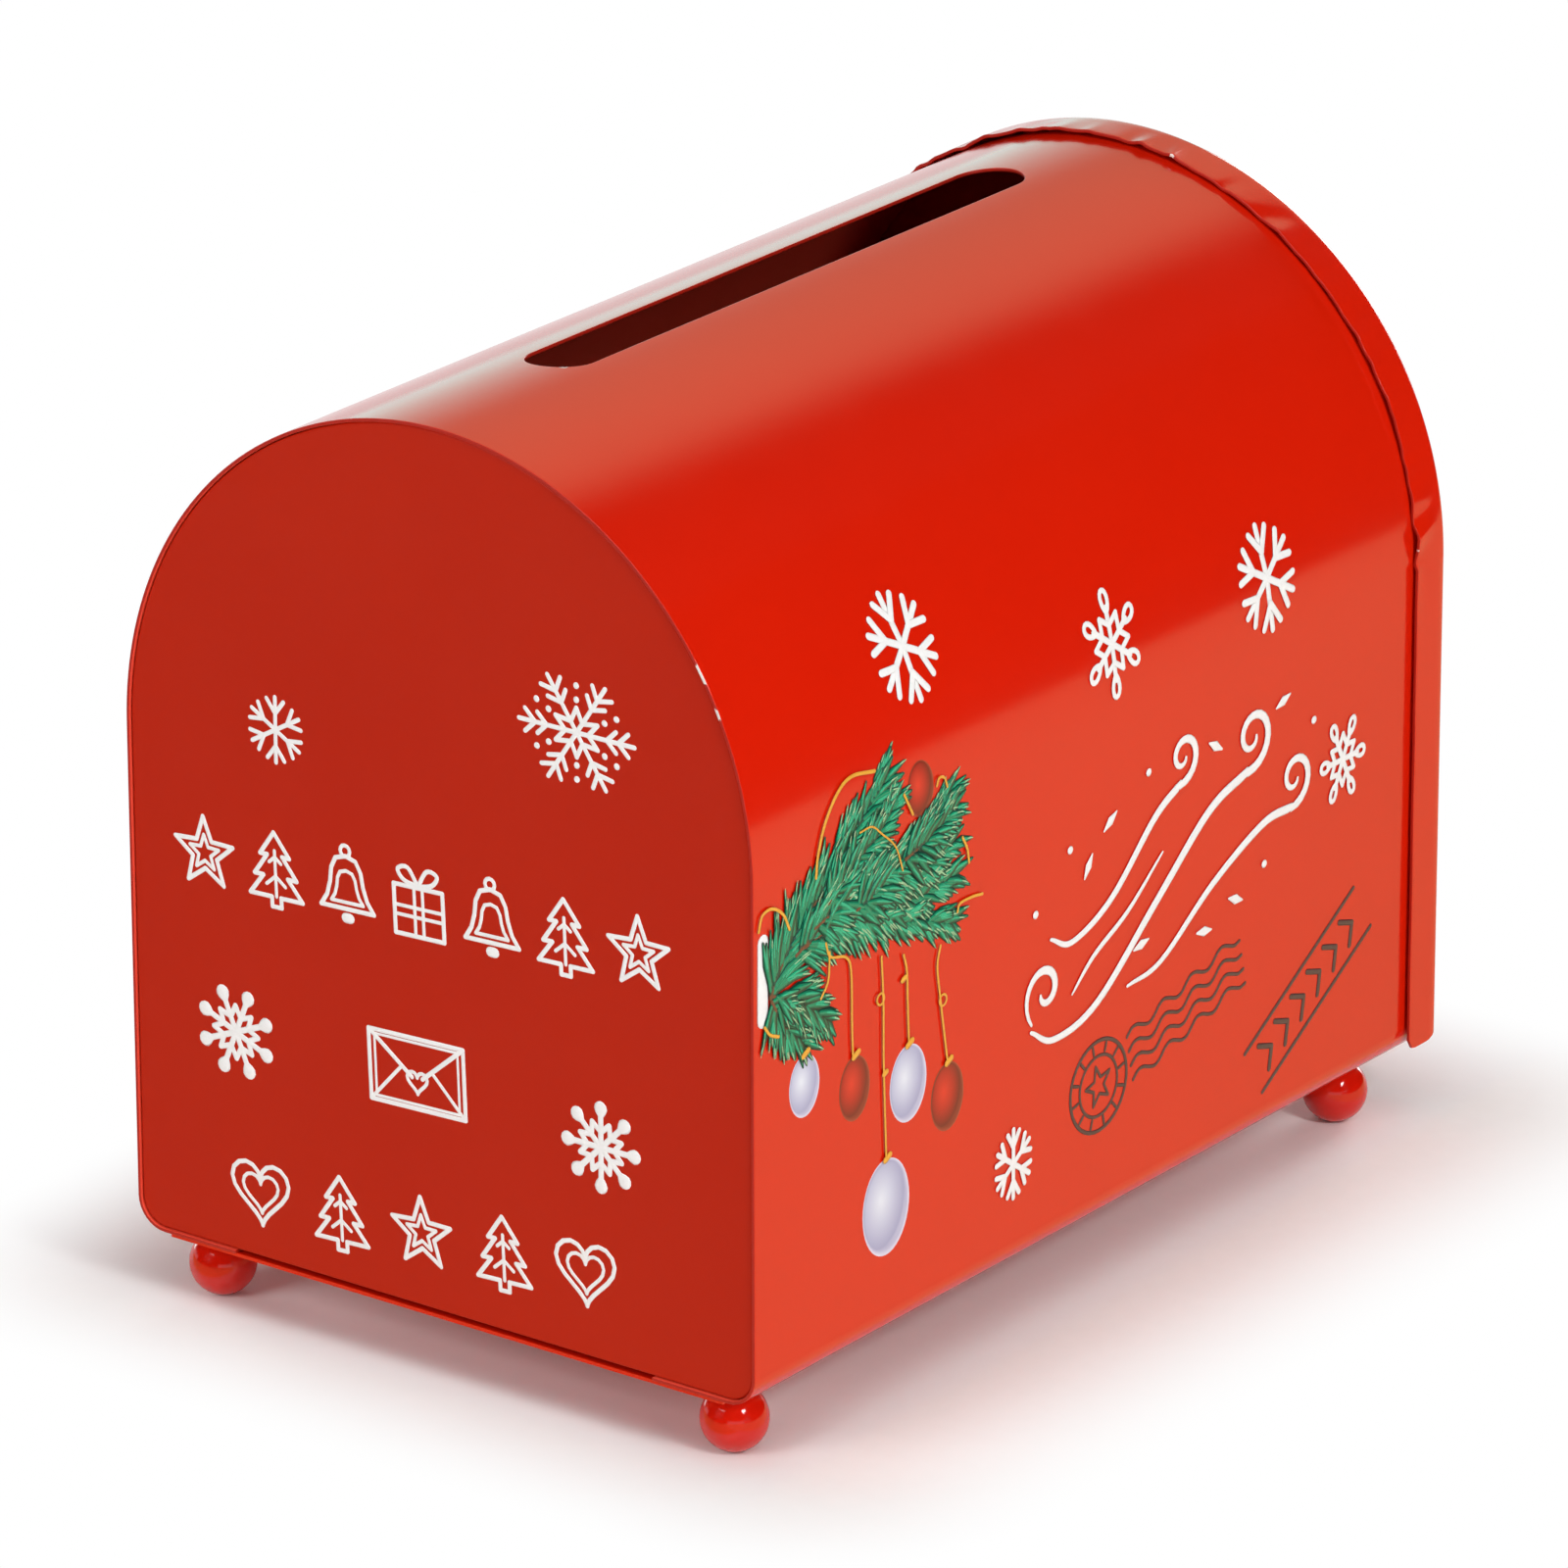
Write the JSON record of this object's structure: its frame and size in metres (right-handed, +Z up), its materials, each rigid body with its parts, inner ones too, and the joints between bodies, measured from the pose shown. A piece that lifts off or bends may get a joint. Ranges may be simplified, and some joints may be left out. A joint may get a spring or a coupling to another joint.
{
  "type": "money box",
  "caption": "Arched tin money box shaped like a letter box, with a long slot in the top, a hinged end door and ball feet.",
  "frame": {"origin": "on the plane of the four feet, under the centre of the whole box's outline, door knob included", "axes": "+Z up, -Y out of the printed front panel, +Y out of the hinged door, +X to the right when the front panel is faced"},
  "size_m": [0.107, 0.1704, 0.1368],
  "materials": {
    "red_tinplate": "gloss red enamel on tinplate",
    "red_front_panel": "satin red enamel on tinplate, white print",
    "red_door": "gloss red enamel on tinplate",
    "red_ball": "high gloss red enamel",
    "zinc_steel": "bright zinc plate"
  },
  "bodies": {
    "box": {"body_wrap": "red_tinplate", "front_panel": "red_front_panel", "floor_plate": "red_tinplate", "foot_front_left": "red_ball", "foot_front_right": "red_ball", "foot_rear_left": "red_ball", "foot_rear_right": "red_ball", "foot_screws": "zinc_steel", "foot_washers": "zinc_steel", "hinge_body_leaf": "zinc_steel", "hinge_body_rivets": "zinc_steel", "hinge_pin": "zinc_steel"},
    "door": {"door_panel": "red_door", "hinge_door_leaf": "zinc_steel", "hinge_door_rivets": "zinc_steel", "door_knob": "red_ball", "knob_screw": "zinc_steel", "knob_washer": "zinc_steel"}
  },
  "joints": [
    {"name": "door_hinge", "type": "hinge", "parent": "box", "child": "door", "pos_m": [0, 0.0723, 0.00812], "axis": [-1, 0, 0], "range_deg": [0, 85]}
  ]
}
